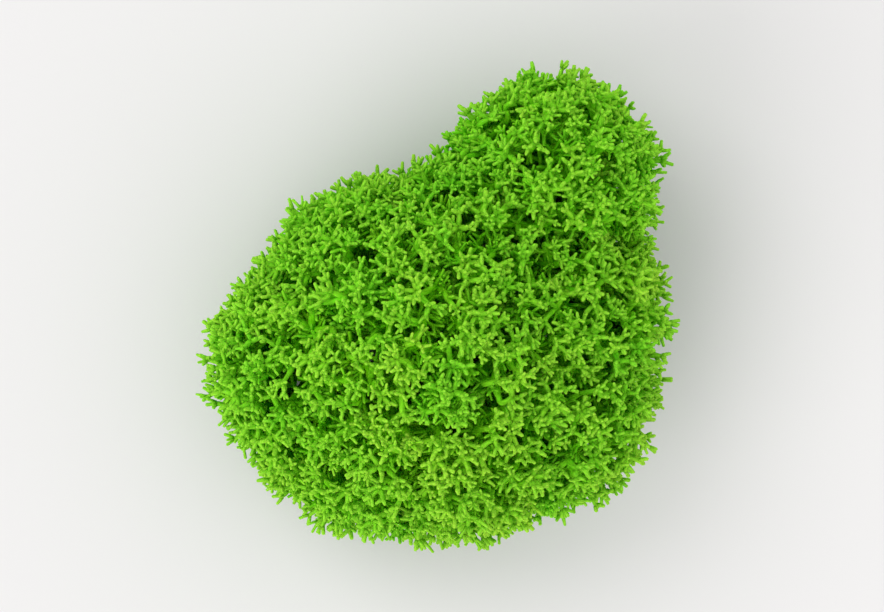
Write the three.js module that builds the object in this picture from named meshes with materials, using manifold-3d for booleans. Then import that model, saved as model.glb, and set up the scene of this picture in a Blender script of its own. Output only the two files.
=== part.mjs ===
// A clump of reindeer moss, which is the cushion lichen Cladonia stellaris, cut from the ground and laid
// on its cut. It is a group of heads pressed into one cushion. Each head is a branched stalk whose twigs
// end in a dense round crown of small stars, and the stars gather in tufts. All the stalks spread from one
// place, the rotted root mat, which lay below the cut and isn't part of the clump. A head's solid is a
// dense core with the outermost stars and stalks standing out of it. Units are millimetres, +Z is up, and
// the origin is under the middle of the clump, on the plane of the cut.

import * as THREE from "three";
import { mergeVertices } from "three/addons/utils/BufferGeometryUtils.js";
import Module from "manifold-3d";

// ---- Driving dimensions ----

const ROOT_MAT = new THREE.Vector3(0.5, -0.8, -22); // where the stalks would meet, below the cut
const GOLDEN_RATIO = (1 + Math.sqrt(5)) / 2;

// The cushion's surface is a broad ball with a smaller ball for each head's crown, all blended where they
// meet.
const DOME = { centre: [-1.5, -5.3, 17], radius: 19.2 };
const HEADS = [
  { name: "head_crown", centre: [-1.5, -3.8, 24.4], radius: 12.4 },
  { name: "head_left", centre: [-14.1, -6.2, 17.5], radius: 11.5 },
  { name: "head_front_left", centre: [-8.8, -13.6, 16.5], radius: 11.2 },
  { name: "head_front", centre: [2.1, -14, 17], radius: 11.2 },
  { name: "head_front_right", centre: [11.7, -10.8, 17.5], radius: 11.4 },
  { name: "head_right", centre: [13.1, -1.4, 19], radius: 11.5 },
  { name: "head_back_right", centre: [12.7, 14.6, 19.5], radius: 11 },
  { name: "head_back", centre: [2.1, 5.6, 21.5], radius: 10 },
  { name: "head_back_left", centre: [-8.9, 2.6, 20], radius: 10 },
];
const BLEND = 1.4; // width of the blend between the balls
const WIDEST_RAY = 50; // degrees from upright, more than any of the cushion reaches, seen from the root mat
const LONGEST_RAY = 90; // past all of the cushion
const RAY_STEPS = 60; // inwards along a ray, to find the surface
const RAY_NEAR = 0.02; // a ray whose last step comes this near to the surface has met it
const RIM_STEP = 0.4; // degrees between the rays that are tried for the rim
const HEAD_GAP = 0.32; // between neighbouring heads, which press against each other without growing together

const TUFT_SPACING = 5.2; // between the middles of neighbouring tufts, in which the stars of a crown gather
const TUFT_DOME = 0.9; // how far the edge of a tuft lies below its middle
const TUFT_UNEVENNESS = 0.8; // between the highest tufts and the lowest
const TUFT_PULL = 0.17; // how much of the way to the middle of its tuft a star is drawn
const WIDEST_EDGE = 1.4; // how far out in its tuft a place can count as, in half spacings
const SURFACE_PLACES = 8000; // rays tried for places on the surface

const STAR_SPACING = 3.5; // between neighbouring stars
const STAR_TIP = 3; // length of one point of a star
const STAR_SPREAD = 54; // degrees between a point of a star and the twig that bears it
const STAR_DEPTH = 5.6; // from the cushion's surface down to the core that the stars grow from
const ROOT_DEPTH = 0.8; // how deep a twig is sunk in the core, at the least
const WALL_MARGIN = 1; // between a star's middle and the wall of its head
const STAR_OUTWARD = 0.65; // how far a star turns from its ray towards the way straight out of the cushion
const LEAN_BACK = 0.5; // how strongly a star at the wall leans back into its own head
const TWIG_RADIUS = 0.75; // at its root
const NECK_RADIUS = 1.15; // where the star begins

const CORE_RINGS = 10;
const CORE_WIDTH = 0.94; // the core's share of the way from the middle of the cushion to its rim
const CORE_FLUTES = 0.05; // how much of that share the grooves down its flank take away
const CORE_RELIEF = 1.6; // how much deeper the core lies between two tufts than under the middle of one

const STALK_SPACING = 4; // between the tops of neighbouring bare stalks, round the clump under its rim
const STALK_RADIUS = 0.9;
const STALK_TIP = 3.2;
const STALK_SPREAD = 30; // degrees
const STALK_SWAY = 0.08; // radians round the clump that a stalk may stray
const STALK_SUNK = 2; // how far a stalk goes on below the cut, which trims it
const STALK_TOPS = { highest: 1, lowest: 3 }; // below the rim
const STALK_WIDTHS = { foot: 0.9, bend: 0.95, top: 1 }; // shares of the way from the middle to the rim

const SLIVER = 0.003; // edges shorter than this, left by the joins and cuts, are taken out

// ---- Small helpers ----

const wasm = await Module();
wasm.setup();

const UP = new THREE.Vector3(0, 1, 0);
const degrees = THREE.MathUtils.degToRad;

// A repeatable stream of numbers from 0 to 1.
function randomStream(seed) {
  let state = seed;
  return () => {
    state = (state + 0x6d2b79f5) | 0;
    let t = Math.imul(state ^ (state >>> 15), 1 | state);
    t = (t + Math.imul(t ^ (t >>> 7), 61 | t)) ^ t;
    return ((t ^ (t >>> 14)) >>> 0) / 4294967296;
  };
}

// A closed surface, given by its corners and its three-sided faces, as a manifold-3d solid.
function toSolid(points, faces) {
  const geometry = new THREE.BufferGeometry().setFromPoints(points);
  geometry.setIndex(faces.flat());
  const merged = mergeVertices(geometry, 1e-4);
  return new wasm.Manifold(
    new wasm.Mesh({
      numProp: 3,
      vertProperties: new Float32Array(merged.getAttribute("position").array),
      triVerts: new Uint32Array(merged.index.array),
    }),
  );
}

// A manifold-3d solid as a three.js geometry, moved so that the point `from` becomes its origin.
function toGeometry(solid, from) {
  const { numProp, numVert, vertProperties, triVerts } = solid.getMesh();
  const positions = new Float32Array(numVert * 3);
  for (let i = 0; i < numVert; i++) {
    positions[3 * i] = vertProperties[numProp * i] - from.x;
    positions[3 * i + 1] = vertProperties[numProp * i + 1] - from.y;
    positions[3 * i + 2] = vertProperties[numProp * i + 2] - from.z;
  }
  const geometry = new THREE.BufferGeometry();
  geometry.setAttribute("position", new THREE.BufferAttribute(positions, 3));
  geometry.setIndex(new THREE.BufferAttribute(new Uint32Array(triVerts), 1));
  geometry.computeVertexNormals();
  return geometry;
}

// ---- The form of the cushion ----

// A ray is a unit vector that points away from the root mat, as a stalk grows.
function rayAt(polar, azimuth) {
  const across = Math.sin(polar);
  return new THREE.Vector3(across * Math.cos(azimuth), across * Math.sin(azimuth), Math.cos(polar));
}

const pointOn = (ray, distance) => ray.clone().multiplyScalar(distance).add(ROOT_MAT);

const balls = [DOME, ...HEADS].map(({ name, centre, radius }) => {
  const middle = new THREE.Vector3(...centre);
  const axis = middle.clone().sub(ROOT_MAT);
  const spread = Math.asin(radius / axis.length()); // half the ball's width, seen from the root mat
  axis.normalize();
  return { name, middle, radius, axis, lean: axis.clone().divideScalar(Math.cos(spread)) };
});
const heads = balls.slice(1);

// Each ball's part in the cushion's surface near a point: the nearest ball counts most.
function ballWeights(point) {
  return balls.map(({ middle, radius }) => Math.exp((radius - point.distanceTo(middle)) / BLEND));
}

const sum = (numbers) => numbers.reduce((a, b) => a + b, 0);

// How far a point lies outside the cushion's surface, and negative inside it.
const heightOver = (point) => -BLEND * Math.log(sum(ballWeights(point)));

// The direction straight out of the cushion near a point.
function outwardAt(point) {
  const weights = ballWeights(point);
  const outward = new THREE.Vector3();
  balls.forEach(({ middle }, i) => {
    outward.addScaledVector(point.clone().sub(middle).normalize(), weights[i]);
  });
  return outward.normalize();
}

// How far along a ray the cushion's surface lies, found by stepping inwards from beyond it, or 0 where the
// ray misses.
function reachAlong(ray) {
  let reach = LONGEST_RAY;
  let height = 0;
  for (let step = 0; step < RAY_STEPS; step++) {
    height = heightOver(pointOn(ray, reach));
    reach -= Math.max(height, 0);
  }
  return height < RAY_NEAR && reach > 0 ? reach : 0;
}

// The widest ray that still meets the cushion on one side of it, as its angle from upright.
function rimAt(azimuth) {
  let polar = degrees(WIDEST_RAY);
  while (!reachAlong(rayAt(polar, azimuth))) polar -= degrees(RIM_STEP);
  return polar;
}

// ---- How the heads share the cushion ----

// Neighbouring heads meet in planes through the root mat. A head's walls are those planes, facing into it.
for (const head of heads) {
  const others = heads.filter((other) => other !== head);
  head.walls = others.map((other) => {
    const normal = head.lean.clone().sub(other.lean).normalize();
    return { normal, offset: normal.dot(ROOT_MAT) + HEAD_GAP / 2 };
  });
}

const headOf = (ray) => heads.reduce((a, b) => (ray.dot(a.lean) > ray.dot(b.lean) ? a : b));

// The wall that a point in a head's share is nearest to, and how far the point is from it.
function nearestWall(point, head) {
  const gaps = head.walls.map(({ normal, offset }) => normal.dot(point) - offset);
  const distance = Math.min(...gaps);
  return { distance, normal: head.walls[gaps.indexOf(distance)].normal };
}

// ---- Tufts ----

// Places on the cushion's surface, even over the directions from the root mat, along a spiral.
function spiralPlaces(count) {
  const places = [];
  for (let i = 0; i < count; i++) {
    const upright = 1 - ((i + 0.5) / count) * (1 - Math.cos(degrees(WIDEST_RAY)));
    const ray = rayAt(Math.acos(upright), (2 * Math.PI * i) / GOLDEN_RATIO);
    const reach = reachAlong(ray);
    if (reach) places.push({ head: headOf(ray), ray, end: pointOn(ray, reach) });
  }
  return places;
}

// Some of the places, one by one, each where the gap between those taken so far is widest, until the gaps
// are down to the spacing.
function spacedApart(places, spacing) {
  const gaps = places.map(() => Infinity);
  const taken = [];
  let widest = 0;
  while (gaps[widest] > spacing) {
    const { end } = places[widest];
    taken.push(places[widest]);
    places.forEach((place, i) => {
      gaps[i] = Math.min(gaps[i], place.end.distanceTo(end));
    });
    widest = gaps.indexOf(Math.max(...gaps));
  }
  return taken;
}

const surfacePlaces = spiralPlaces(SURFACE_PLACES);
const tufts = spacedApart(surfacePlaces, TUFT_SPACING).map((place, i) => {
  return { ...place, low: TUFT_UNEVENNESS * ((i * GOLDEN_RATIO) % 1) };
});

// The tuft that a place on the surface belongs to, which is the nearest one of its own head, and how far
// the tufts lower the place: an uneven tuft as a whole, and a place near its edge by the dome's height.
function tuftAt({ head, end }, dome) {
  const own = tufts.filter((tuft) => tuft.head === head);
  const tuft = own.reduce((a, b) => (a.end.distanceTo(end) < b.end.distanceTo(end) ? a : b));
  const edge = Math.min((2 * tuft.end.distanceTo(end)) / TUFT_SPACING, WIDEST_EDGE);
  return { tuft, drop: tuft.low + dome * edge ** 2 };
}

// ---- The pieces of the heads ----

// The dense inside of the whole cushion, before the heads divide it. Its top is a net of three-sided
// faces, with six more corners in each ring than in the last. It lies STAR_DEPTH below the cushion's
// surface under the middle of a tuft, and deeper between the tufts. The flank is grooved, and narrows
// down to the root mat.
function coreSolid() {
  const upright = rayAt(0, 0);
  const points = [pointOn(upright, reachAlong(upright) - STAR_DEPTH), ROOT_MAT.clone()];
  const corner = (ring, i) => (ring === 0 ? 0 : 2 + 3 * ring * (ring - 1) + (i % (6 * ring)));
  const faces = [];
  for (let ring = 1; ring <= CORE_RINGS; ring++) {
    for (let i = 0; i < 6 * ring; i++) {
      const azimuth = (2 * Math.PI * i) / (6 * ring);
      const width = CORE_WIDTH - (i % 2 ? CORE_FLUTES : 0);
      const ray = rayAt((rimAt(azimuth) * width * ring) / CORE_RINGS, azimuth);
      const reach = reachAlong(ray);
      const { drop } = tuftAt({ head: headOf(ray), end: pointOn(ray, reach) }, CORE_RELIEF);
      points.push(pointOn(ray, reach - STAR_DEPTH - drop));

      const inner = i - Math.floor(i / ring); // the corner of the last ring that this one's edge starts from
      faces.push([corner(ring, i), corner(ring, i + 1), corner(ring - 1, inner)]);
      if ((i + 1) % ring) faces.push([corner(ring - 1, inner), corner(ring, i + 1), corner(ring - 1, inner + 1)]);
      if (ring === CORE_RINGS) faces.push([1, corner(ring, i + 1), corner(ring, i)]);
    }
  }
  return toSolid(points, faces);
}

// A twig with a star of four points at its end. It is square, from its root to its neck, and each side of
// its end is drawn out into a point that leans away from the twig by `spread`.
function starSolid({ root, neck, rootRadius, neckRadius, tip, spread }, random) {
  const along = neck.clone().sub(root).normalize();
  const turn = new THREE.Quaternion().setFromUnitVectors(UP, along);
  const sides = 4;
  const roll = 2 * Math.PI * random();
  const place = (across, up, step) => {
    const angle = roll - (2 * Math.PI * step) / sides;
    return new THREE.Vector3(across * Math.cos(angle), up, across * Math.sin(angle)).applyQuaternion(turn);
  };
  const steps = [...Array(sides).keys()];
  const lower = steps.map((i) => place(rootRadius, 0, i).add(root));
  const upper = steps.map((i) => place(neckRadius, 0, i).add(neck));
  const tips = steps.map((i) => {
    const length = tip * (0.85 + 0.3 * random());
    return place(length * Math.sin(spread), length * Math.cos(spread), i + 0.5).add(neck);
  });
  const hollow = along.clone().multiplyScalar(neckRadius * 0.2).add(neck);
  const points = [...lower, ...upper, ...tips, root, hollow];
  const [foot, middle] = [3 * sides, 3 * sides + 1];
  const faces = steps.flatMap((i) => {
    const next = (i + 1) % sides;
    return [
      [foot, next, i],
      [i, next, sides + next],
      [i, sides + next, sides + i],
      [sides + i, sides + next, 2 * sides + i],
      [sides + next, middle, 2 * sides + i],
      [middle, sides + i, 2 * sides + i],
    ];
  });
  return toSolid(points, faces);
}

// A star of a crown. Its twig starts inside the core, and its points end near the cushion's surface, drawn
// towards the middle of their tuft. Next to a wall it leans back into its own head.
function crownStar(place, random) {
  const { head, ray, end } = place;
  const { tuft, drop } = tuftAt(place, TUFT_DOME);
  const wall = nearestWall(end, head);
  const leanBack = LEAN_BACK * Math.max(0, 1 - wall.distance / STAR_TIP);
  const along = ray.clone().lerp(outwardAt(end), STAR_OUTWARD).normalize();
  along.addScaledVector(wall.normal, leanBack).normalize();
  const height = STAR_TIP * Math.cos(degrees(STAR_SPREAD));
  const top = end.clone().lerp(tuft.end, TUFT_PULL).addScaledVector(along, -drop);
  const deepest = STAR_DEPTH + TUFT_UNEVENNESS + CORE_RELIEF * WIDEST_EDGE ** 2;
  return starSolid(
    {
      root: end.clone().addScaledVector(along, -deepest - ROOT_DEPTH),
      neck: top.clone().addScaledVector(along, -height),
      rootRadius: TWIG_RADIUS,
      neckRadius: NECK_RADIUS,
      tip: STAR_TIP,
      spread: degrees(STAR_SPREAD),
    },
    random,
  );
}

// The point at a height on the flank of the cushion, or further in where width is under 1.
function flankPoint(azimuth, width, height) {
  const ray = rayAt(rimAt(azimuth) * width, azimuth);
  return pointOn(ray, (height - ROOT_MAT.z) / ray.z);
}

// The point on the cushion's rim, where its surface turns in over the stalks.
function rimPoint(azimuth) {
  const ray = rayAt(rimAt(azimuth), azimuth);
  return pointOn(ray, reachAlong(ray));
}

// The directions of the bare stalks, an equal step apart along the rim.
function stalkAzimuths() {
  const azimuths = [];
  let last = null;
  for (let azimuth = 0; azimuth < 2 * Math.PI; azimuth += degrees(0.5)) {
    const point = rimPoint(azimuth);
    if (last && point.distanceTo(last) < STALK_SPACING) continue;
    azimuths.push(azimuth);
    last = point;
  }
  return azimuths;
}

// A bare stalk: it rises from the cut against the core, bends outwards, and forks twice on its way to the
// rim.
function stalkPieces(azimuth, random) {
  const height = rimPoint(azimuth).z - THREE.MathUtils.lerp(STALK_TOPS.highest, STALK_TOPS.lowest, random());
  const sway = () => azimuth + STALK_SWAY * (random() - 0.5);
  const foot = flankPoint(azimuth, STALK_WIDTHS.foot, -STALK_SUNK);
  const bend = flankPoint(sway(), STALK_WIDTHS.bend, height * (0.45 + 0.15 * random()));
  const top = flankPoint(sway(), STALK_WIDTHS.top, height);
  const shape = {
    rootRadius: STALK_RADIUS,
    neckRadius: 0.8 * STALK_RADIUS,
    tip: STALK_TIP,
    spread: degrees(STALK_SPREAD),
  };
  return [
    starSolid({ ...shape, root: foot, neck: bend }, random),
    starSolid({ ...shape, root: foot.clone().lerp(bend, 0.8), neck: top }, random),
  ];
}

// ---- The whole clump ----

const random = randomStream(5);
const core = coreSolid();
const clearOfWalls = surfacePlaces.filter(({ head, end }) => nearestWall(end, head).distance > WALL_MARGIN);
const stars = spacedApart(clearOfWalls, STAR_SPACING).map((place) => {
  return { head: place.head, pieces: [crownStar(place, random)] };
});
const stalks = stalkAzimuths().map((azimuth) => {
  return { head: headOf(rayAt(rimAt(azimuth), azimuth)), pieces: stalkPieces(azimuth, random) };
});

const clump = new THREE.Group();
for (const head of heads) {
  const grown = [...stars, ...stalks].filter((one) => one.head === head).flatMap((one) => one.pieces);
  let solid = wasm.Manifold.union([core, ...grown]);
  for (const { normal, offset } of head.walls) solid = solid.trimByPlane(normal.toArray(), offset);
  const body = solid
    .simplify(SLIVER)
    .trimByPlane([0, 0, 1], 0)
    .decompose()
    .reduce((a, b) => (a.volume() > b.volume() ? a : b))
    .simplify(SLIVER);

  const foot = pointOn(head.axis, -ROOT_MAT.z / head.axis.z);
  const green = new THREE.Color().setRGB(0.2, 0.44, 0.03);
  const material = new THREE.MeshStandardMaterial({ color: green, roughness: 0.9, metalness: 0 });
  const mesh = new THREE.Mesh(toGeometry(body, foot), material);
  mesh.name = head.name;
  mesh.position.copy(foot);
  clump.add(mesh);
}

export default clump;
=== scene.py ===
# %% [markdown]
# # A clump of reindeer moss
#
# Reindeer moss isn't a moss but a lichen, Cladonia stellaris. Florists dye it green and keep it soft
# with glycerine. A clump is a handful of heads. Each head is one stalk that forks again and again,
# until it ends in a dense round crown of tiny stars.
#
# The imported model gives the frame: nine plain heads at their real size. A bumpy surface over each would
# pass from far off, but a lichen is nothing but twigs and the gaps between them. So this lesson grows
# the twigs, as thousands of small tubes, in the space that each plain head fills.

# %% The frame and the tools
import math

import bpy
import numpy as np
from mathutils import Matrix, Vector


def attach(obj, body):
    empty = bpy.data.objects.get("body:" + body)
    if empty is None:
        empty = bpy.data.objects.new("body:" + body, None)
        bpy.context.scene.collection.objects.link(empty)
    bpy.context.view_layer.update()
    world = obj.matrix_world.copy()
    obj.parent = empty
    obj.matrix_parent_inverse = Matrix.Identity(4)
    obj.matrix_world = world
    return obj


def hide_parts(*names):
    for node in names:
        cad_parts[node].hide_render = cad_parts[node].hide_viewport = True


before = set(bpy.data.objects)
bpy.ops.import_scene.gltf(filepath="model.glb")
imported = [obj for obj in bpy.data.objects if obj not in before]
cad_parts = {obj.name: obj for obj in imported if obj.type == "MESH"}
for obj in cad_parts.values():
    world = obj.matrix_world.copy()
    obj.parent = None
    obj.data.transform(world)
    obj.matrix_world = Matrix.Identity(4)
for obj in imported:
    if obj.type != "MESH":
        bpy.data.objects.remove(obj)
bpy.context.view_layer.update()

rng = np.random.default_rng(7)
METRES = 0.001  # the lichen is worked out in millimetres, and a mesh is in metres
print("heads in the frame:", len(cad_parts))

# %% [markdown]
# ## The form of the cushion
#
# The heads press into one cushion, whose surface comes from balls: a broad one for the dome and one for
# each head's crown. The nearest ball counts most, and a small blend rounds the creases between them. A
# sculpted mesh would serve as well, but a formula can tell, for any point, how far inside the cushion
# it lies.

# %% Balls of the cushion, in millimetres
DOME = ([-1.5, -5.3, 17], 19.2)  # middle and radius of the broad ball
HEADS = {
    "head_crown": ([-1.5, -3.8, 24.4], 12.4),
    "head_left": ([-14.1, -6.2, 17.5], 11.5),
    "head_front_left": ([-8.8, -13.6, 16.5], 11.2),
    "head_front": ([2.1, -14, 17], 11.2),
    "head_front_right": ([11.7, -10.8, 17.5], 11.4),
    "head_right": ([13.1, -1.4, 19], 11.5),
    "head_back_right": ([12.7, 14.6, 19.5], 11),
    "head_back": ([2.1, 5.6, 21.5], 10),
    "head_back_left": ([-8.9, 2.6, 20], 10),
}
BALL_MIDDLES = np.array([DOME[0], *(middle for middle, _ in HEADS.values())])
BALL_RADII = np.array([DOME[1], *(radius for _, radius in HEADS.values())])
print("balls:", len(BALL_RADII))

# %% Inside and outside the cushion
BLEND = 1.4  # how wide the crease between two balls is rounded


def unit(vectors):
    """Vectors scaled to length one."""
    return vectors / np.maximum(np.linalg.norm(vectors, axis=-1, keepdims=True), 1e-12)


def ball_weights(points):
    """exp((radius - distance) / BLEND) for each point and ball: the nearest ball's is by far the largest."""
    distance = np.linalg.norm(points[:, None, :] - BALL_MIDDLES, axis=2)
    return np.exp((BALL_RADII - distance) / BLEND)


def height_over(points):
    """How far points lie outside the cushion: minus BLEND times the logarithm of the summed ball weights."""
    return -BLEND * np.log(np.maximum(ball_weights(points).sum(axis=1), 1e-30))


def outward_at(points):
    """The way straight out of the cushion: the directions away from the balls, averaged by their weights."""
    away = unit(points[:, None, :] - BALL_MIDDLES)
    return unit((away * ball_weights(points)[:, :, None]).sum(axis=1))


print("the dome's middle lies inside by", -height_over(BALL_MIDDLES[:1])[0].round(1), "mm")

# %% [markdown]
# ## Rays from the root mat
#
# The stalks of a clump once grew from one root mat under the cut, and everything in it still points
# away from there. So each place in the cushion is found along a ray from the root mat. Rays thrown at
# random would crowd here and miss there, so they follow a spiral that turns by the golden ratio, as the
# seeds of a sunflower do.

# %% Rays that meet the cushion
ROOT_MAT = np.array([0.5, -0.8, -22])  # below the cut
WIDEST_RAY = math.radians(50)  # from upright
RAY_START = 90.0  # how far off each ray starts, well outside the cushion
RAY_STEPS = 60
NEAR_ENOUGH = 0.02  # the height at which a ray has met the surface
GOLDEN_RATIO = (1 + math.sqrt(5)) / 2


def reach_along(rays):
    """How far from the root mat each ray meets the surface: start beyond it, step in by the height left."""
    reach = np.full(len(rays), RAY_START)
    for _ in range(RAY_STEPS):
        height = height_over(ROOT_MAT + rays * reach[:, None])
        reach -= np.clip(height, 0, None)
    return np.where((height < NEAR_ENOUGH) & (reach > 0), reach, np.nan)


def spiral_rays(count):
    """Rays that meet the cushion, spread evenly up to the widest ray, how far each reaches, and to where.

    Ray k is turned by k / GOLDEN_RATIO turns, and the cosine of its lean is
    1 - (k + 0.5) / count * (1 - cosine of the widest ray).
    """
    number = np.arange(count)
    upright = 1 - (number + 0.5) / count * (1 - math.cos(WIDEST_RAY))
    across, turn = np.sqrt(1 - upright**2), 2 * math.pi * number / GOLDEN_RATIO
    rays = np.stack([across * np.cos(turn), across * np.sin(turn), upright], axis=1)
    reach = reach_along(rays)
    met = np.isfinite(reach)
    return rays[met], reach[met], (ROOT_MAT + rays * reach[:, None])[met]


rays, reach, surface_places = spiral_rays(count=110000)
print("rays that meet the cushion:", len(rays))

# %% [markdown]
# ## Which head a twig belongs to
#
# Seen from the root mat, each crown fills a cone. Where two cones meet, the heads press together, so a
# twig belongs to the head whose cone its ray is deepest in. The plain heads of the frame are divided in
# the same way.

# %% The cone of each head
HEAD_AXES = BALL_MIDDLES[1:] - ROOT_MAT
HEAD_SPREAD = np.arcsin(BALL_RADII[1:] / np.linalg.norm(HEAD_AXES, axis=1))
HEAD_LEAN = unit(HEAD_AXES) / np.cos(HEAD_SPREAD)[:, None]


def head_of(rays):
    """The number of the head whose cone each ray is deepest in: the largest dot product with its lean."""
    return (rays @ HEAD_LEAN.T).argmax(axis=1)


print("rays in each head:", np.bincount(head_of(rays)).tolist())

# %% [markdown]
# ## Even spacing
#
# A lichen fills its space evenly: a twig stops growing where its neighbours leave no light. Throwing
# forks in at random would leave bald spots and knots, and a grid would show as rows. Instead, each new
# place goes where the gap to the others is widest.

# %% Places spaced apart
def spaced_apart(places, spacing):
    """Picks places one by one, each where the gap to those picked is widest, until it is under spacing."""
    gap = np.full(len(places), np.inf)
    picked = [0]
    while gap.max() > spacing**2:
        gap = np.minimum(gap, ((places - places[picked[-1]]) ** 2).sum(axis=1))
        picked.append(int(gap.argmax()))
    return np.array(picked[:-1])


print("places 20 mm apart on the cushion:", len(spaced_apart(surface_places[::50], 20)))

# %% [markdown]
# ## Tufts
#
# A crown isn't evenly full. Its tips gather in small domed tufts, half a centimetre apart, with creases
# between them. A noise texture could push the tips up and down, but it wouldn't draw them together. So
# each tip is moved a little towards the middle of its tuft. The plain heads have the same tufts, found
# by the same rule.

# %% Sizes and places of the tufts
TUFT_SPACING = 5.2
TUFT_DOME = 0.9  # how far the edge of a tuft lies below its middle
TUFT_UNEVENNESS = 0.8  # between the highest tufts and the lowest
TUFT_PULL = 0.17  # how much of the way to the middle of its tuft a tip is drawn
TUFT_TONE_SPREAD = 0.07  # how much the tufts differ in tone, as a standard deviation
tuft_rays, _, tuft_places = spiral_rays(count=8000)
tufts = spaced_apart(tuft_places, TUFT_SPACING)
TUFT_PLACES = tuft_places[tufts]
TUFT_HEADS = head_of(tuft_rays[tufts])
TUFT_LOW = TUFT_UNEVENNESS * (np.arange(len(tufts)) * GOLDEN_RATIO % 1)
TUFT_TONE = rng.normal(0, TUFT_TONE_SPREAD, len(tufts))


def tuft_at(places, heads):
    """The nearest tuft of the same head for each place on the surface, and the way there from the tuft."""
    apart = places[:, None, :] - TUFT_PLACES
    distance = np.linalg.norm(apart, axis=2)
    distance[heads[:, None] != TUFT_HEADS] = np.inf
    tuft = distance.argmin(axis=1)
    return tuft, apart[np.arange(len(places)), tuft]


print("tufts:", len(tufts))

# %% [markdown]
# ## Openings
#
# Where three tufts meet, the cushion is open, and one looks down between the twigs into the dark. These
# openings are what makes a lichen look like a lichen from a step away. They could be painted dark, but then
# they would stay dark from the side too. So no twig forks in them.

# %% The openings between the tufts
OPENING_SPACING = 5.6
OPENING_RADII = [1.85, 1.65, 1.1]  # no fork of the three outermost layers lies nearer to an opening's axis
CORNER = 0.6  # a place this many tuft spacings from the nearest tuft lies in a corner between tufts
SAMPLE_STEP = 12  # every twelfth ray is enough to find the corners

_, from_tuft = tuft_at(surface_places[::SAMPLE_STEP], head_of(rays[::SAMPLE_STEP]))
corners = SAMPLE_STEP * np.flatnonzero(np.linalg.norm(from_tuft, axis=1) > CORNER * TUFT_SPACING)
openings = corners[spaced_apart(surface_places[corners], OPENING_SPACING)]


def clear_of_openings(places, depth, radius):
    """Whether each place is farther than the radius from the axis of every opening, at that depth."""
    middles = ROOT_MAT + rays[openings] * (reach[openings] - depth)[:, None]
    return np.linalg.norm(places[:, None, :] - middles, axis=2).min(axis=1) > radius


print("openings:", len(openings))

# %% [markdown]
# ## Where the twigs fork
#
# A lichen forks at fairly even steps, which get shorter towards the surface. A tree grown step by step
# from its root would do this too, but its outside couldn't be foreseen. So the forks are laid out from
# the surface inwards, in layers, each at one depth. The outermost layers follow the tufts, and the
# deeper ones less and less. At the rim some forks stay behind the others, which leaves a loose fringe.

# %% The layers of forks
LAYERS = [  # depth below the surface, spacing of the forks, and thickness of a twig there
    (1.35, 2.05, 0.6),
    (2.9, 2.4, 0.68),
    (4.7, 2.9, 0.76),
    (6.9, 3.3, 0.82),
    (9.5, 3.5, 0.9),
    (12.8, 3.6, 0.95),
    (16.8, 3.7, 1.05),
    (21.4, 3.8, 1.15),
    (26.6, 3.9, 1.25),
    (32.4, 4.0, 1.35),
]
LOWEST_FORK = 2.5  # above the cut
STRAY = 0.1  # how far a fork strays from its even place, in spacings
WIDEST_EDGE = 1.4  # how far past the edge of its tuft a fork still sinks, in half tuft spacings
TUFT_FADE = 6  # the depth over which the tufts fade out
RAGGED_RIM = 2.2  # how far a fork at the rim may lie below its even place
RIM_CHANCE = 1.5  # the power that leaves most forks of the rim near their even places
THICKNESS_SPREAD = 0.12  # how far a twig's thickness strays, as a share


def rim_at(places):
    """0 on top of the clump, and up to 1 where its surface turns to the side or under: (1 - upright)^2."""
    return (1 - np.clip(outward_at(places)[:, 2], 0, 1)) ** 2


layers = []
for number, (depth, spacing, thick) in enumerate(LAYERS):
    places = ROOT_MAT + rays * (reach - depth)[:, None]
    above = places[:, 2] > LOWEST_FORK
    if number < len(OPENING_RADII):
        above &= clear_of_openings(places, depth, OPENING_RADII[number])
    above = np.flatnonzero(above)
    picked = above[spaced_apart(places[above], spacing)]
    count, head = len(picked), head_of(rays[picked])
    tuft, apart = tuft_at(surface_places[picked], head)
    edge = np.clip(np.linalg.norm(apart, axis=1) / (0.5 * TUFT_SPACING), 0, WIDEST_EDGE)
    sink = TUFT_DOME * edge**2 + TUFT_LOW[tuft]
    sink += RAGGED_RIM * rng.random(count) ** RIM_CHANCE * rim_at(places[picked])
    gather = math.exp(-depth / TUFT_FADE) * (TUFT_PULL * apart + rays[picked] * sink[:, None])
    layers.append(
        {
            "place": places[picked] - gather + rng.normal(0, STRAY * spacing, (count, 3)),
            "tuft": tuft,
            "ray": rays[picked],
            "head": head,
            "thick": thick * rng.uniform(1 - THICKNESS_SPREAD, 1 + THICKNESS_SPREAD, count),
            "depth": np.full(count, depth),
            "spacing": np.full(count, spacing),
        }
    )
    print(f"{count} forks {depth} mm deep")

# %% [markdown]
# ## Joining the forks
#
# Each fork grows from the nearest fork of its own head in the next layer down. Where the cut took that
# one away, the twig is a stalk that comes straight up from the cut. Its start is set a little below,
# because the cut planes it off level later. All pairs are compared at once, which is quicker here than
# a search tree.

# %% Joining each fork to the one below it
FURTHEST_JOIN = 1.6  # in spacings of the layer below
BELOW_CUT = 1.2  # how far below the cut a stalk starts


def join_to(upper, lower):
    """The nearest lower fork of the same head for each upper fork, and whether there is one near enough."""
    expected = upper["place"] - upper["ray"] * (lower["depth"][0] - upper["depth"][0])
    gap = np.linalg.norm(expected[:, None, :] - lower["place"][None, :, :], axis=2)
    gap[upper["head"][:, None] != lower["head"][None, :]] = np.inf
    return gap.argmin(axis=1), gap.min(axis=1) < FURTHEST_JOIN * lower["spacing"][0]


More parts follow.
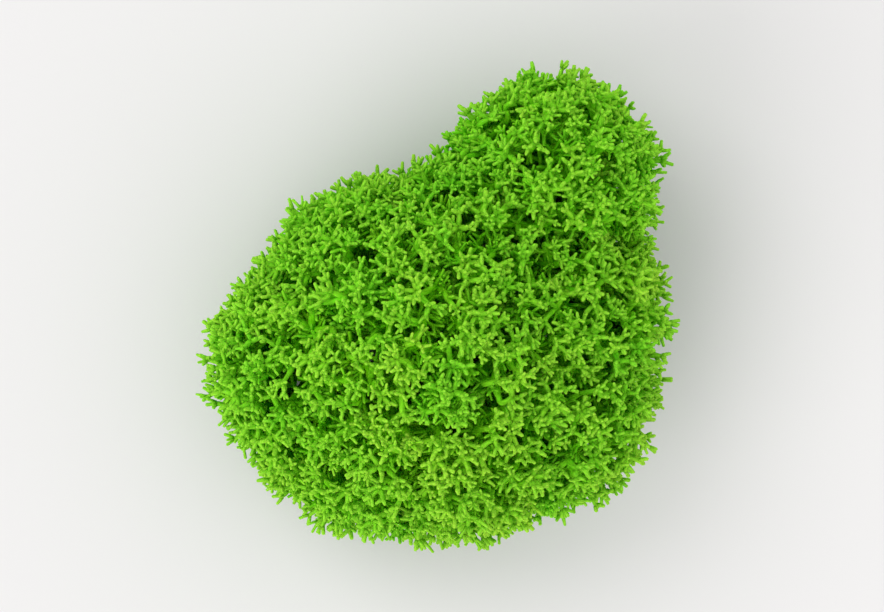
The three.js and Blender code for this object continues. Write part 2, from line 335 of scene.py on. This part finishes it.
for layer in layers:
    to_cut = (layer["place"][:, 2:] + BELOW_CUT) / layer["ray"][:, 2:]
    layer["start"] = layer["place"] - layer["ray"] * to_cut
    layer["bearing"] = np.zeros(len(layer["place"]), bool)
for upper, lower in zip(layers, layers[1:]):
    below, joined = join_to(upper, lower)
    upper["below"], upper["joined"] = below, joined
    upper["start"] = np.where(joined[:, None], lower["place"][below], upper["start"])
    lower["bearing"][below[joined]] = True
print("stalks at the cut:", sum(int((layer["start"][:, 2] < 0).sum()) for layer in layers))

# %% The way each twig points, at both of its ends
TURN_OUT = 0.6  # how strongly the twigs at the surface turn outwards
TURN_OUT_FADE = 4  # the depth over which that fades out
AIM_SPREAD = 0.12  # how far the way that a twig points at its end strays
FOLLOW = 0.75  # how much a twig starts out the way the one below it ends
STALK_TAPER = 1.15  # a stalk's thickness at the cut over that at its fork
STEP_IN = 0.9  # how much of the lower twig's thickness the next one starts with

for layer in layers:
    chord = unit(layer["place"] - layer["start"])
    turn_out = TURN_OUT * np.exp(-layer["depth"] / TURN_OUT_FADE)[:, None]
    stray = rng.normal(0, AIM_SPREAD, chord.shape)
    layer["aim"] = unit(chord + turn_out * outward_at(layer["place"]) + stray)
    layer["start_aim"], layer["start_thick"] = chord, STALK_TAPER * layer["thick"]
for upper, lower in zip(layers, layers[1:]):
    below, joined = upper["below"], upper["joined"]
    shared_aim = unit(FOLLOW * lower["aim"][below] + (1 - FOLLOW) * upper["start_aim"])
    upper["start_aim"] = np.where(joined[:, None], shared_aim, upper["start_aim"])
    upper["start_thick"] = np.where(joined, STEP_IN * lower["thick"][below], upper["start_thick"])
print("thickest start:", max(layer["start_thick"].max() for layer in layers).round(2), "mm")

# %% [markdown]
# ## A twig is a tube along a bent path
#
# All the twigs of a kind are made at once, as one array of rings. The path is a Hermite curve, which
# needs only both ends and the way it points there. The rings stand square to it. Blender's curve
# objects with a bevel would do the same one by one, far too slowly for more than thirty thousand tubes.

# %% A bent path, and what stands square to it
def square_to(ways):
    """Two unit vectors for each way, square to it and to each other."""
    helper = np.where(np.abs(ways[..., 2:]) < 0.8, [0.0, 0.0, 1.0], [1.0, 0.0, 0.0])
    side = unit(np.cross(ways, helper))
    return side, np.cross(ways, side)


def bent_paths(start, end, start_aim, end_aim, t):
    """Points along Hermite curves and the way there, as (tube, ring, xyz), for t from 0 to 1.

    Path: h00 start + h10 length start_aim + h01 end + h11 length end_aim, with the Hermite polynomials
    of t. The way is its slope over t, scaled to length one.
    """
    length = np.linalg.norm(end - start, axis=1)[:, None, None]
    a, b, p, q = start[:, None], end[:, None], start_aim[:, None] * length, end_aim[:, None] * length
    path = (2 * t**3 - 3 * t**2 + 1) * a + (3 * t**2 - 2 * t**3) * b
    path = path + (t**3 - 2 * t**2 + t) * p + (t**3 - t**2) * q
    slope = (6 * t**2 - 6 * t) * (a - b) + (3 * t**2 - 4 * t + 1) * p + (3 * t**2 - 2 * t) * q
    return path, unit(slope)


# %% Many tubes at once
ROUND_END = [(0.6, 0.7)]  # each ring past the end: how far ahead of it and how wide, in radii of the end
CUPPED_END = [(0.1, 0.6), (-1.2, 0.45)]
LUMPS = 0.16  # how far a ring's radius strays


def tubes(start, end, start_aim, end_aim, start_thick, end_thick, rings, sides, ending):
    """Tubes along bent paths: their points as (tube, ring, side, xyz), and how far along each ring is.

    A ring's point: path + radius (cos angle side + sin angle over), with side and over square to the
    path. The side is the same steady one all along a tube, freed of what lies along the path.
    """
    t = np.linspace(0, 1, rings)
    path, way = bent_paths(start, end, start_aim, end_aim, t[None, :, None])
    radius = (start_thick[:, None] * (1 - t) + end_thick[:, None] * t) / 2
    radius = radius * rng.uniform(1 - LUMPS, 1 + LUMPS, radius.shape)

    end_path, end_way, end_radius = path[:, -1], way[:, -1], radius[:, -1:]
    past = [(end_path + ahead * end_radius * end_way)[:, None] for ahead, _ in ending]
    path = np.concatenate([path, *past], axis=1)
    way = np.concatenate([way, *([end_way[:, None]] * len(ending))], axis=1)
    radius = np.concatenate([radius, *(width * end_radius for _, width in ending)], axis=1)

    steady = square_to(unit(end - start))[0][:, None]
    side = unit(steady - way * (steady * way).sum(axis=2, keepdims=True))
    over = np.cross(way, side)
    angle = np.arange(sides)[:, None] * 2 * math.pi / sides
    spoke = side[:, :, None] * np.cos(angle) + over[:, :, None] * np.sin(angle)
    points = path[:, :, None] + radius[:, :, None, None] * spoke
    return points, np.concatenate([t, np.ones(len(ending))])


# %% [markdown]
# ## Tone, and age with painted shade
#
# Every tube carries two numbers besides its shape. Tone says how yellow its green is, and age how near
# it is to the young tips. Age falls with depth in the clump, so it also paints shade: the deeper a twig
# lies, the darker its green. The tone of each head also paints light and shade: the front heads are set
# lighter and the back heads darker. Vertex colours could hold the green itself, but then each change of
# it would mean new meshes. So the two numbers are stored as a UV map, and the finish turns them into a
# colour.
# The UV runs in a small circle round each ring, so that no face's place on the map is empty.

# %% The basket that collects the tubes
basket = []
CIRCLE = 0.012  # how far tone and age, with its painted shade, vary round a tube


def collect(head, tone, start_age_and_shade, end_age_and_shade, points, along):
    """Adds tubes to the basket. UV: tone plus CIRCLE cos angle, and age_and_shade plus CIRCLE sin angle,
    which darkens deep twigs as painted shade.
    """
    angle = np.arange(points.shape[2]) * 2 * math.pi / points.shape[2]
    age_and_shade = start_age_and_shade[:, None] * (1 - along) + end_age_and_shade[:, None] * along
    u = tone[:, None, None] + CIRCLE * np.cos(angle)
    v = age_and_shade[:, :, None] + CIRCLE * np.sin(angle)
    basket.append((head, points, np.stack(np.broadcast_arrays(u, v), axis=3)))


# %% Tone, and age with painted shade, place by place
# Painted light and shade: the front heads are set yellower and lighter, the back heads bluer and darker, on
# top of each head's own tone.
HEAD_TONE_AND_PAINTED_LIGHT = np.array([-0.04, -0.04, 0.05, 0.12, 0.04, 0.03, -0.05, -0.08, -0.12])
WAVE_TONE = 0.07  # how much the slow waves change the tone
TWIG_TONE_SPREAD = 0.09
TONE_RANGE = (0.04, 0.96)  # leaves room for the circle at both ends
# Age and painted shade in one: twigs deep in the clump, where little light reaches, are painted darker, and
# they are also older and duller.
OLDEST_AND_DARKEST = 0.04
AGE_AND_SHADE_RANGE = 0.82  # between the oldest, darkest twigs and the lightest ones at the surface: age and painted shade
AGEING_AND_SHADING_DEPTH = 13  # the depth over which the twigs grow old and the painted shade deepens


def tone_and_painted_light_at(places, head):
    """Tone: a half, plus an offset for each head, which also paints the front heads lighter and the back
    heads darker as painted light and shade, slow waves through the clump, and a little chance.

    Waves: sin(x / 3.1 + 1.3) sin(y / 3.7 + 0.4) + 0.6 sin(z / 2.3), so one is 14 to 23 mm long.
    """
    x, y, z = places.T
    waves = np.sin(x / 3.1 + 1.3) * np.sin(y / 3.7 + 0.4) + 0.6 * np.sin(z / 2.3)
    chance = rng.normal(0, TWIG_TONE_SPREAD, len(places))
    return np.clip(0.5 + HEAD_TONE_AND_PAINTED_LIGHT[head] + WAVE_TONE * waves + chance, *TONE_RANGE)


def age_and_painted_shade_at(depth):
    """Ageing and painted shade, high and light at the tips, low and dark deep in the clump and at the feet of
    the
    stalks: OLDEST_AND_DARKEST + AGE_AND_SHADE_RANGE exp(-depth / AGEING_AND_SHADING_DEPTH).
    """
    return OLDEST_AND_DARKEST + AGE_AND_SHADE_RANGE * np.exp(-depth / AGEING_AND_SHADING_DEPTH)


print("age of a tip and of the longest stalk's foot:", age_and_painted_shade_at(np.array([0, 37])).round(2).tolist())

# %% [markdown]
# ## The twigs between the forks
#
# Now each fork gets the twig that leads up to it. Where it bears others, its end is rounded and hides
# between them. Where it bears none, it ends in a star, round a small open hollow, so its end is cupped.

# %% The twigs between the forks
def some(group, which):
    """The same group of forks with only those that a mask keeps, or that a list of numbers names."""
    return {key: values[which] for key, values in group.items()}


for layer in layers:
    layer["tone"] = tone_and_painted_light_at(layer["place"], layer["head"]) + TUFT_TONE[layer["tuft"]]
    layer["tone"] = np.clip(layer["tone"], *TONE_RANGE)
    # Age, and painted shade: the deeper a fork, the darker its green.
    layer["age_and_shade"] = age_and_painted_shade_at(layer["depth"])
    for bearing, ending in ((True, ROUND_END), (False, CUPPED_END)):
        twigs = some(layer, layer["bearing"] == bearing)
        # A twig's foot lies deeper than its fork, so it is older and painted darker, as shade.
        foot_depth = twigs["depth"] + np.linalg.norm(twigs["place"] - twigs["start"], axis=1)
        made = tubes(
            twigs["start"], twigs["place"], twigs["start_aim"], twigs["aim"],
            twigs["start_thick"], twigs["thick"], rings=6, sides=6, ending=ending,
        )
        collect(twigs["head"], twigs["tone"], age_and_painted_shade_at(foot_depth), twigs["age_and_shade"], *made)
print("twigs:", sum(len(head) for head, _, _ in basket))

# %% [markdown]
# ## Forking on to the tips
#
# Past the last layer, each end divides round a small open hollow into a star of branchlets, and each
# branchlet divides again into short blunt points. It is the same fork twice, so one function makes
# both. One star, copied, would be lighter, but no two real ones are alike, so every branchlet gets its
# own turn, lean and length.

# %% The way that a branchlet leans
def leaning(ways, turn, lean):
    """Unit vectors: way cos lean + (side cos turn + over sin turn) sin lean."""
    side, over = square_to(ways)
    out = side * np.cos(turn)[:, None] + over * np.sin(turn)[:, None]
    return ways * np.cos(lean)[:, None] + out * np.sin(lean)[:, None]


print("leaning by a right angle:", leaning(np.array([[0, 0, 1.0]]), np.zeros(1), np.full(1, 1.5708)).round(2))

# %% One fork for many ends
NEAREST_CUT = 0.6  # the lowest that a child may end above the cut
# The tips are youngest and lightest: deeper twigs are painted darker, as shade.
YOUNGEST_AND_LIGHTEST = 0.96
TURN_SPREAD = 0.22  # how far a child strays from its even turn, in radians
ROUND_THE_END = 0.25  # how far off the end of its mother a child starts, in her thicknesses
START_TAPER = 0.95  # a child's thickness where it starts over its mother's
CHILD_TONE_SPREAD = 0.03


def fork(mothers, counts, lean, length, taper, bend, youth_and_light, rings):
    """Divides each end into its count of children, spread evenly round its aim, and collects their tubes.

    A child starts on a ring round the end, leans out by lean, bends back up by bend and thins by taper.
    Youth is how much of the way to the youngest age it grows. Lean, length and taper are ranges.
    """
    mother = np.repeat(np.arange(len(counts)), counts)
    number = np.arange(len(mother)) - np.repeat(np.cumsum(counts) - counts, counts)
    ends = some(mothers, mother)
    aim, thick = ends["aim"], ends["thick"]
    turn = 2 * math.pi * (rng.random(len(counts))[mother] + number / counts[mother])
    turn += rng.normal(0, TURN_SPREAD, len(mother))
    lean = rng.uniform(*lean, len(mother))
    length = rng.uniform(*length, len(mother)) * ends["size"]
    out = leaning(aim, turn, np.full(len(mother), math.pi / 2))
    off = (ROUND_THE_END * thick)[:, None]
    start = ends["place"] + out * off - aim * off
    place = start + leaning(aim, turn, lean) * length[:, None]
    begin, finish = leaning(aim, turn, lean + bend), leaning(aim, turn, lean - bend)
    child = {
        "place": place,
        "aim": finish,
        "thick": thick * rng.uniform(*taper, len(mother)),
        "head": ends["head"],
        "tone": np.clip(ends["tone"] + rng.normal(0, CHILD_TONE_SPREAD, len(mother)), *TONE_RANGE),
        # A child is younger than its mother and painted lighter, further out of the shade painted deep in the
        # clump.
        "age_and_shade": ends["age_and_shade"] + youth_and_light * (YOUNGEST_AND_LIGHTEST - ends["age_and_shade"]),
        "size": ends["size"],
    }
    clear = place[:, 2] > NEAREST_CUT
    kept, ends = some(child, clear), some(ends, clear)
    made = tubes(
        start[clear], kept["place"], begin[clear], kept["aim"], START_TAPER * ends["thick"], kept["thick"],
        rings=rings, sides=4, ending=ROUND_END,
    )
    collect(kept["head"], kept["tone"], ends["age_and_shade"], kept["age_and_shade"], *made)
    return kept


print("lowest end of a child:", NEAREST_CUT, "mm above the cut")

# %% [markdown]
# ## Stars
#
# Three to five branchlets open like the spokes of an umbrella, some higher and some lower. Those on the
# outside of the clump are all that most people ever see of it. At the rim, where they stand out one by
# one, they are a little larger than on top.

# %% Stars on the ends of the twigs
# youth: how far a fork's age goes towards the youngest tips, and so how much lighter its painted shade gets
BRANCHLET = {"lean": (0.5, 1.25), "length": (0.75, 1.45), "taper": (0.72, 0.88), "bend": 0.35, "youth_and_light": 0.45}
BRANCHLETS, BRANCHLET_ODDS = [3, 4, 5], [0.3, 0.5, 0.2]  # in a star
POINT = {"lean": (0.35, 0.95), "length": (0.4, 0.95), "taper": (0.6, 0.8), "bend": 0.15, "youth_and_light": 0.9}
POINTS, POINT_ODDS = [2, 3, 4], [0.45, 0.45, 0.1]  # on a branchlet
STAR_SIZE = (0.8, 1.2)
RIM_SIZE = 0.25  # how much larger the stars are at the rim than on top

stars = 0
for layer in layers:
    ends = some(layer, ~layer["bearing"])
    ends = {key: ends[key] for key in ("place", "aim", "thick", "head", "tone", "age_and_shade")}
    ends["size"] = rng.uniform(*STAR_SIZE, len(ends["place"])) * (1 + RIM_SIZE * rim_at(ends["place"]))
    counts = rng.choice(BRANCHLETS, len(ends["place"]), p=BRANCHLET_ODDS)
    branchlets = fork(ends, counts, rings=4, **BRANCHLET)
    fork(branchlets, rng.choice(POINTS, len(branchlets["place"]), p=POINT_ODDS), rings=3, **POINT)
    stars += len(ends["place"])
print("stars:", stars)

# %% [markdown]
# ## Sprigs
#
# Between its forks a twig also bears small side sprigs. They fill the inside of a head, so that no
# light comes through it, and they roughen the stalks below the rim. A dark ball inside each head would
# stop the light too, but it would show between the twigs. A sprig is the same fork again, with a single
# branchlet at first.

# %% Sprigs on the sides of the twigs
SPRIGS = [0, 3, 5, 5, 6, 6, 6, 6, 5, 4]  # on each twig, layer by layer
SPRIG = {"lean": (0, 0.5), "length": (0.8, 1.3), "taper": (0.8, 0.95), "bend": 0.2, "youth_and_light": 0.2}
SPRIG_POINT = {"lean": (0.5, 1.0), "length": (0.6, 1.0), "taper": (0.7, 0.85), "bend": 0.2, "youth_and_light": 0.25}
SPRIG_POINTS, SPRIG_POINT_ODDS = [2, 3], [0.45, 0.55]
SPRIG_PLACES = (0.15, 0.95)  # how far along its twig a sprig stands
SPRIG_OUTWARD, SPRIG_FORWARD = 0.5, 0.4  # how much its way leans out of the clump, and on along the twig
SPRIG_THICK = 0.62  # over its twig's thickness
SPRIG_SIZE = 0.5  # over the spacing of the forks, so that the sprigs fill the space between them

sprig_total = 0
for layer, sprig_count in zip(layers, SPRIGS):
    twigs = some(layer, np.repeat(np.arange(len(layer["place"])), sprig_count))
    count = len(twigs["place"])
    if count == 0:
        continue
    along = rng.uniform(*SPRIG_PLACES, count)
    ends = [twigs[key] for key in ("start", "place", "start_aim", "aim")]
    path, way = bent_paths(*ends, along[:, None, None])
    side = unit(rng.normal(0, 1, (count, 3)) + SPRIG_OUTWARD * outward_at(twigs["place"]))
    length = np.linalg.norm(twigs["place"] - twigs["start"], axis=1)
    buds = {
        "place": path[:, 0],
        "aim": unit(side + SPRIG_FORWARD * way[:, 0]),
        "thick": SPRIG_THICK * twigs["thick"],
        "head": twigs["head"],
        "tone": twigs["tone"],
        # A sprig's age, painted darker as shade the deeper it stands in the clump.
        "age_and_shade": age_and_painted_shade_at(twigs["depth"] + length * (1 - along)),
        "size": SPRIG_SIZE * twigs["spacing"],
    }
    sprigs = fork(buds, np.ones(count, int), rings=3, **SPRIG)
    counts = rng.choice(SPRIG_POINTS, len(sprigs["place"]), p=SPRIG_POINT_ODDS)
    fork(sprigs, counts, rings=2, **SPRIG_POINT)
    sprig_total += count
print("sprigs:", sprig_total)

# %% [markdown]
# ## The finish
#
# The dye takes best in the young tips, which come out a light yellow-green. Older twigs are a duller,
# deeper green, and the feet of the stalks go brown. The same darkening with depth also paints shade:
# the inside of the clump, where little light reaches, is painted darker. A painted image could hold all
# this, but two colour ramps over age, mixed by tone, say it in a few numbers, and they can be changed
# at any time.

# %% Two ramps of green over age, darker deep in the clump as painted shade
# Low ages are dark partly for the browning of old stalks and partly as painted shade of the clump's dark
# inside.
BLUE_GREEN = [
    (0, (0.05, 0.06, 0.009)),
    (0.3, (0.08, 0.55, 0.003)),
    (0.6, (0.1, 0.6, 0.004)),
    (1, (0.2, 0.62, 0.025)),
]
YELLOW_GREEN = [
    (0, (0.085, 0.075, 0.011)),
    (0.3, (0.15, 0.56, 0.003)),
    (0.6, (0.22, 0.63, 0.004)),
    (1, (0.4, 0.7, 0.055)),
]

lichen = bpy.data.materials.new("dyed lichen")
lichen.use_nodes = True
tree = lichen.node_tree


def add_node(kind, **settings):
    """A new node of the lichen's tree, with its settings."""
    node = tree.nodes.new(kind)
    for name, value in settings.items():
        setattr(node, name, value)
    return node


def add_ramp(age_and_shade, stops):
    """A colour ramp over age, with a stop for each (age, colour) pair."""
    node = add_node("ShaderNodeValToRGB")
    for _ in stops[2:]:
        node.color_ramp.elements.new(0.5)
    for element, (place, colour) in zip(node.color_ramp.elements, stops):
        element.position, element.color = place, (*colour, 1)
    tree.links.new(age_and_shade, node.inputs["Fac"])
    return node.outputs["Color"]


uv_map = add_node("ShaderNodeUVMap", uv_map="OFBake")
split = add_node("ShaderNodeSeparateXYZ")
by_tone = add_node("ShaderNodeMix", data_type="RGBA")
tree.links.new(uv_map.outputs["UV"], split.inputs["Vector"])
tree.links.new(split.outputs["X"], by_tone.inputs["Factor"])
# The ramps over age paint twigs darker the deeper they lie: part ageing, part painted shade.
tree.links.new(add_ramp(split.outputs["Y"], BLUE_GREEN), by_tone.inputs["A"])
tree.links.new(add_ramp(split.outputs["Y"], YELLOW_GREEN), by_tone.inputs["B"])
print("stops in each ramp:", len(BLUE_GREEN))

# %% [markdown]
# ## Specks
#
# The dye is never quite even along a twig. A noise over tone and age breaks the green up, a fifth
# lighter here and a fifth darker there. It is drawn out along the twig, because its scale over age is
# the smaller one.

# %% Lighter and darker specks
stretch = add_node("ShaderNodeMapping")
stretch.inputs["Scale"].default_value = (130, 30, 1)  # over tone, over age
specks = add_node("ShaderNodeTexNoise", noise_dimensions="2D")
specks.inputs["Scale"].default_value = 1
specks.inputs["Detail"].default_value = 1
speck_range = add_node("ShaderNodeMapRange")
for name, value in (("From Min", 0.25), ("From Max", 0.75), ("To Min", 0.8), ("To Max", 1.2)):
    speck_range.inputs[name].default_value = value
speckled = add_node("ShaderNodeVectorMath", operation="SCALE")
tree.links.new(uv_map.outputs["UV"], stretch.inputs["Vector"])
tree.links.new(stretch.outputs["Vector"], specks.inputs["Vector"])
tree.links.new(specks.outputs["Fac"], speck_range.inputs["Value"])
tree.links.new(by_tone.outputs["Result"], speckled.inputs["Vector"])
tree.links.new(speck_range.outputs["Result"], speckled.inputs["Scale"])
print("nodes so far:", len(tree.nodes))

# %% [markdown]
# ## Felt
#
# A twig has no skin. Its outside is a felt of threads far finer than a hair, so it never shines, and some
# of the light soaks through it. A diffuse colour alone would look like paint. High roughness with a touch
# of sheen takes the shine away, a little subsurface lets light through, and a fine bump roughens the tubes.

# %% The felted surface
surface = tree.nodes["Principled BSDF"]
surface.inputs["Roughness"].default_value = 0.9
surface.inputs["Specular IOR Level"].default_value = 0.05
surface.inputs["Subsurface Weight"].default_value = 0.25
surface.inputs["Subsurface Radius"].default_value = (0.6, 1, 0.2)
surface.inputs["Subsurface Scale"].default_value = 0.4 * METRES
surface.inputs["Sheen Weight"].default_value = 0.08
surface.inputs["Sheen Roughness"].default_value = 0.5
surface.inputs["Sheen Tint"].default_value = (0.5, 0.9, 0.05, 1)
tree.links.new(speckled.outputs["Vector"], surface.inputs["Base Color"])

place_on = add_node("ShaderNodeTexCoord")
felt = add_node("ShaderNodeTexNoise")
felt.inputs["Scale"].default_value = 5000  # grains 0.2 mm across
bump = add_node("ShaderNodeBump")
bump.inputs["Strength"].default_value = 0.8
bump.inputs["Distance"].default_value = 0.1 * METRES
tree.links.new(place_on.outputs["Object"], felt.inputs["Vector"])
tree.links.new(felt.outputs["Fac"], bump.inputs["Height"])
tree.links.new(bump.outputs["Normal"], surface.inputs["Normal"])
print("nodes in all:", len(tree.nodes))

# %% [markdown]
# ## From tubes to meshes
#
# Each head's tubes become one mesh, written in one go. Cutting the stalks off with a boolean would be
# slow and leave ragged faces. Instead, what lies below the cut is pressed up to it, which leaves every
# stalk with a flat foot. The piece rides on the part's body and takes the place of the plain head.

# %% The tubes of one head
def quads_of(ring_count, sides):
    """The four-sided faces of one tube: a band between each pair of rings, and both ends closed."""
    ring, side = np.meshgrid(np.arange(ring_count - 1), np.arange(sides), indexing="ij")
    low, high, after = ring * sides, (ring + 1) * sides, (side + 1) % sides
    bands = np.stack([low + side, low + after, high + after, high + side], axis=2).reshape(-1, 4)
    lid = np.array([[0, 1, 2, 3]] if sides == 4 else [[0, 1, 2, 3], [3, 4, 5, 0]])
    return np.concatenate([bands, lid[:, ::-1], lid + (ring_count - 1) * sides])


def head_arrays(number):
    """Points, UVs and faces of all the tubes in the basket that belong to one head."""
    points, uvs, quads, offset = [], [], [], 0
    for head, tube_points, tube_uvs in basket:
        mine = head == number
        per_tube = tube_points.shape[1] * tube_points.shape[2]
        first = offset + per_tube * np.arange(mine.sum())[:, None, None]
        quads.append((quads_of(*tube_points.shape[1:3]) + first).reshape(-1, 4))
        points.append(tube_points[mine].reshape(-1, 3))
        uvs.append(tube_uvs[mine].reshape(-1, 2))
        offset += per_tube * int(mine.sum())
    return np.concatenate(points), np.concatenate(uvs), np.concatenate(quads)


print("faces of a star's point:", len(quads_of(4, 4)))

# %% One mesh for each head
triangles = 0
for number, name in enumerate(HEADS):
    points, uvs, quads = head_arrays(number)
    points[:, 2] = np.maximum(points[:, 2], 0)

    mesh = bpy.data.meshes.new(f"{name}_twigs")
    mesh.vertices.add(len(points))
    mesh.vertices.foreach_set("co", (points * METRES).astype(np.float32).ravel())
    mesh.loops.add(quads.size)
    mesh.loops.foreach_set("vertex_index", quads.astype(np.int32).ravel())
    mesh.polygons.add(len(quads))
    mesh.polygons.foreach_set("loop_start", np.arange(0, quads.size, 4, dtype=np.int32))
    uv_layer = mesh.uv_layers.new(name="OFBake")
    uv_layer.uv.foreach_set("vector", uvs[quads.ravel()].astype(np.float32).ravel())
    mesh.update(calc_edges=True)
    mesh.shade_smooth()
    mesh.materials.append(lichen)

    piece = bpy.data.objects.new(f"{name}_twigs", mesh)
    bpy.context.scene.collection.objects.link(piece)
    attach(piece, "root")
    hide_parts(name)
    triangles += 2 * len(quads)
    print(f"{piece.name}: {2 * len(quads)} triangles")
print("triangles in all:", triangles)

# %% [markdown]
# ## Floor
#
# The clump stands on a plain pale floor, wide enough to run to the horizon. Its grey, the sky and the
# suns belong together: they are chosen so that the lit floor comes out as bright as the sky. Then no
# horizon shows in the low views. A curved backdrop would hide it too, but it would bend the shadows of
# a clump that stands near it.

# %% A pale floor
SKY = 0.92  # how bright the sky is
FLOOR_GREY = 0.74  # how much of the light the floor throws back
FLOOR_WIDTH = 60  # metres
bpy.ops.mesh.primitive_plane_add(size=FLOOR_WIDTH)
floor = bpy.context.object
floor.name = "floor"
paper = bpy.data.materials.new("pale floor")
paper.use_nodes = True
paper_surface = paper.node_tree.nodes["Principled BSDF"]
paper_grey = FLOOR_GREY * np.array([1.01, 0.992, 0.995])  # a trace of warmth
paper_surface.inputs["Base Color"].default_value = (*paper_grey, 1)
paper_surface.inputs["Roughness"].default_value = 1
paper_surface.inputs["Specular IOR Level"].default_value = 0
floor.data.materials.append(paper)
print("floor:", tuple(floor.dimensions))

# %% [markdown]
# ## Light
#
# Three soft lights do it: a wide sun from the upper left that models the dome, a wider and lower one
# from the lower left that lifts the near side, and an even sky that fills the shadows. Area lights
# would need placing again for a smaller or larger clump, while suns and a sky suit any size.

# %% Two soft suns and an even sky
SUNS = {  # the way to each sun, how wide it is in degrees, and its share of the sunlight on the floor
    "main sun": ((-0.5, 0.42, 0.8), 34, 0.5),
    "side sun": ((-0.7, -0.6, 0.55), 50, 0.5),
}
SUNLIGHT = math.pi * SKY * (1 / FLOOR_GREY - 1)  # what brings the floor up to the sky's brightness

for name, (way, width, share) in SUNS.items():
    way = unit(np.array(way))
    light = bpy.data.lights.new(name, "SUN")
    light.energy = share * SUNLIGHT / way[2]
    light.angle = math.radians(width)
    sun = bpy.data.objects.new(name, light)
    sun.rotation_euler = Vector(-way).to_track_quat("-Z", "Y").to_euler()
    bpy.context.scene.collection.objects.link(sun)
    print(f"{name}: {light.energy:.2f} W a square metre")

sky = bpy.data.worlds.new("sky")
sky.use_nodes = True
sky.node_tree.nodes["Background"].inputs["Color"].default_value = (1, 1, 1, 1)
sky.node_tree.nodes["Background"].inputs["Strength"].default_value = SKY
bpy.context.scene.world = sky
bpy.context.scene.view_settings.view_transform = "Standard"

# %% [markdown]
# ## Camera
#
# The camera looks down on the clump from far off with a long lens, a few degrees off plumb. From there
# a crown shows as a disc of stars. Its place and its turn come from the one direction that it looks
# back along.

# %% Camera
BACK = unit(np.array([-0.09, 0.09, 1.0]))  # from the clump to the camera
TARGET = np.array([0, 0, 16]) * METRES
DISTANCE = 1.2
FRAME_HEIGHT = 66 * METRES  # how much of the clump's level the picture takes in
FRAME_WIDTH = FRAME_HEIGHT * 884 / 612  # the picture's own shape, in pixels
right = unit(np.cross([0, 1, 0], BACK))
turn = np.column_stack([right, np.cross(BACK, right), BACK])

lens = bpy.data.cameras.new("camera")
lens.lens = lens.sensor_width * DISTANCE / FRAME_WIDTH
lens.clip_start = 0.01
camera = bpy.data.objects.new("camera", lens)
camera.matrix_world = Matrix.Translation(TARGET + BACK * DISTANCE) @ Matrix(turn.tolist()).to_4x4()
bpy.context.scene.collection.objects.link(camera)
bpy.context.scene.camera = camera
print(f"lens: {lens.lens:.0f} mm")
